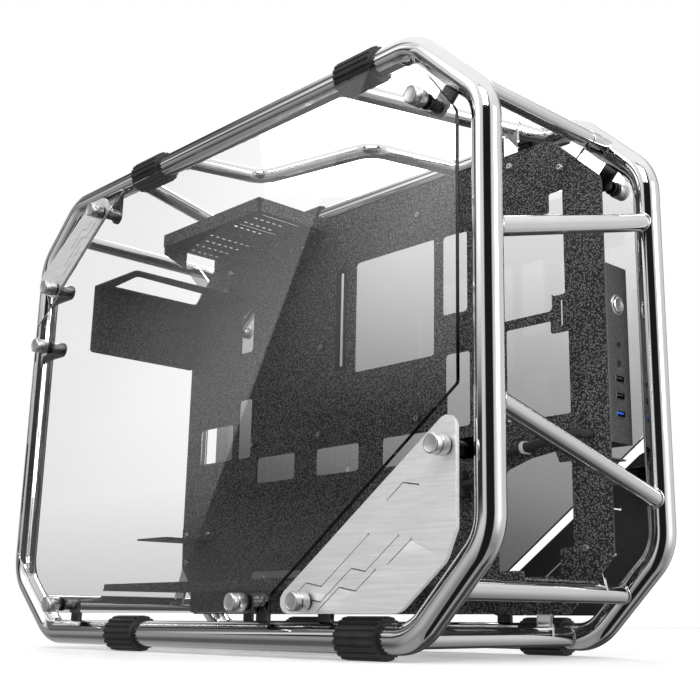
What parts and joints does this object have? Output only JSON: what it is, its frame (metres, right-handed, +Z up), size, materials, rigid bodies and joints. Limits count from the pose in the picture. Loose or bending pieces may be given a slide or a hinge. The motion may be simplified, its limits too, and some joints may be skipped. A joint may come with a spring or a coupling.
{
  "type": "computer case",
  "caption": "Open-frame computer case: two bent tube loops with cross tubes, a pressed tray between them and a smoked glass panel bolted outside each loop.",
  "frame": {"origin": "middle of the whole case in plan, at the floor under the rubber sleeves", "axes": "+X from the left loop to the right loop, where the tray is; -Y is the front with the ports; +Z is up"},
  "size_m": [0.316, 0.7574, 0.5484],
  "materials": {
    "tube_chrome": "polished bent tube, mirror bright with faint drawing lines",
    "turned_metal": "turned and knurled, bright",
    "brushed_plate": "brushed along its length, with fine dark slots",
    "smoked_glass": "tempered, smoked, polished edges",
    "black_rubber": "moulded matte black",
    "black_steel": "black textured powder coat on pressed steel",
    "screw_steel": "plated",
    "standoff_steel": "turned and plated",
    "port_box": "black fine textured coat",
    "button_metal": "spun disc with concentric turning lines",
    "black_plastic": "moulded",
    "port_metal": "stamped port shells",
    "blue_plastic": "moulded port tongues",
    "cable_sleeve": "black braided sleeve round the cable bundle",
    "tie_nylon": "pale nylon tie"
  },
  "bodies": {
    "case": {"left_loop": "tube_chrome", "right_loop": "tube_chrome", "top_front_bar": "tube_chrome", "upper_front_bar": "tube_chrome", "front_brace": "tube_chrome", "lower_front_bar": "tube_chrome", "bottom_front_bar": "tube_chrome", "lower_rear_bar": "tube_chrome", "upper_rear_bar": "tube_chrome", "top_cross_bar": "tube_chrome", "bent_top_tube": "tube_chrome", "top_rear_bar": "tube_chrome", "bar_collars": "tube_chrome", "rubber_sleeves": "black_rubber", "left_glass": "smoked_glass", "right_glass": "smoked_glass", "left_upper_plate": "brushed_plate", "right_upper_plate": "brushed_plate", "left_lower_plate": "brushed_plate", "right_lower_plate": "brushed_plate", "left_panel_mounts": "turned_metal", "right_panel_mounts": "turned_metal", "left_thumb_nuts": "turned_metal", "right_thumb_nuts": "turned_metal", "panel_washers": "black_rubber", "motherboard_tray": "black_steel", "tray_brackets": "tube_chrome", "tray_screws": "screw_steel", "board_standoffs": "standoff_steel", "cable_grommet": "black_rubber", "top_bracket": "black_steel", "psu_bracket": "black_steel", "drive_shelf": "black_steel", "rear_ledge": "black_steel", "bracket_screws": "screw_steel", "io_housing": "port_box", "io_bracket": "black_steel", "button_bezel": "button_metal", "button_switch": "black_plastic", "audio_jacks": "black_plastic", "usb_ports": "port_metal", "usb2_tongues": "black_plastic", "usb3_tongue": "blue_plastic", "io_screws": "screw_steel", "port_harness": "cable_sleeve", "harness_tie": "tie_nylon", "harness_plugs": "black_plastic"},
    "button": {"power_button": "button_metal"}
  },
  "joints": [
    {"name": "power_button_press", "type": "slide", "parent": "case", "child": "button", "axis": [0, 1, 0], "range_m": [0, 0.0015], "stiffness_N_per_m": 400}
  ]
}
